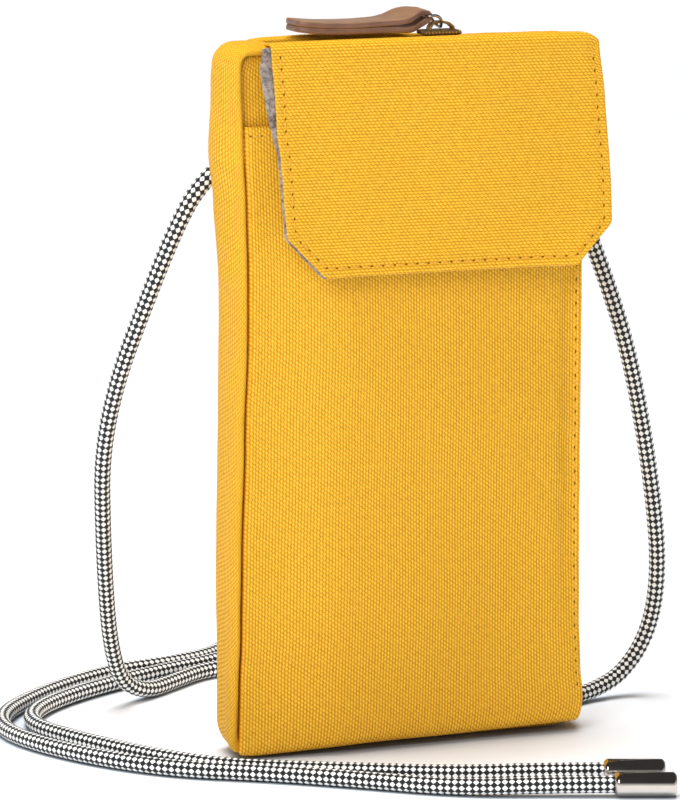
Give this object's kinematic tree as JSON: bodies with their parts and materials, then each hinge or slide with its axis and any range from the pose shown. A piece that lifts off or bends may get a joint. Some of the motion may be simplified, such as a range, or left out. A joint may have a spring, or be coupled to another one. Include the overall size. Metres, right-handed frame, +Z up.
{
  "type": "phone pouch",
  "caption": "Upright canvas phone pouch with a zipped top, a front slip pocket under a felt-lined flap, a leather zip pull and a braided carrying cord with metal end caps.",
  "frame": {"origin": "middle of the base, on the surface that the pouch stands on", "axes": "+Z up along the pouch, +Y from the front to the back, +X to the right seen from the front"},
  "size_m": [0.1958, 0.2302, 0.204],
  "materials": {
    "canvas": "coarse plain-weave synthetic canvas",
    "lining": "thin plain lining cloth",
    "felt": "pressed grey felt",
    "zip_tape": "woven zip tape",
    "zip_metal": "antique plated brass",
    "leather": "smooth brown leather with painted edges",
    "magnet": "thin plated disc",
    "cord": "round braid in a two-tone check",
    "cap_metal": "polished nickel"
  },
  "bodies": {
    "pouch": {"gusset_band": "canvas", "back_panel": "canvas", "front_panel": "canvas", "pocket_panel": "canvas", "main_lining": "lining", "zip_strip_front": "canvas", "zip_strip_back": "canvas", "zip_tape_front": "zip_tape", "zip_tape_back": "zip_tape", "zip_teeth_front": "zip_metal", "zip_teeth_back": "zip_metal", "zip_stops": "zip_metal", "flap_root": "canvas", "pocket_magnet": "magnet", "cord_tunnel": "canvas", "cord_in_tunnel": "cord", "cord_left": "cord", "cord_right": "cord", "end_cap_rear": "cap_metal", "end_cap_front": "cap_metal"},
    "flap": {"flap_outer": "canvas", "flap_lining": "felt", "flap_magnet": "magnet"},
    "slider": {"zip_slider": "zip_metal"},
    "ring": {"pull_ring": "zip_metal"},
    "strap": {"pull_strap": "leather"}
  },
  "joints": [
    {"name": "flap_fold", "type": "hinge", "parent": "pouch", "child": "flap", "pos_m": [0, -0.0116, 0.1967], "axis": [-1, 0, 0], "range_deg": [0, 170]},
    {"name": "zip_run", "type": "slide", "parent": "pouch", "child": "slider", "axis": [1, 0, 0], "range_m": [-0.044, 0.023]},
    {"name": "ring_swing", "type": "hinge", "parent": "slider", "child": "ring", "pos_m": [0.0105, -0.0015, 0.1983], "axis": [0, 1, 0], "range_deg": [0, 115]},
    {"name": "strap_swing", "type": "hinge", "parent": "ring", "child": "strap", "pos_m": [0.00536, -0.0015, 0.20139], "axis": [0, 1, 0], "range_deg": [0, 60]}
  ]
}
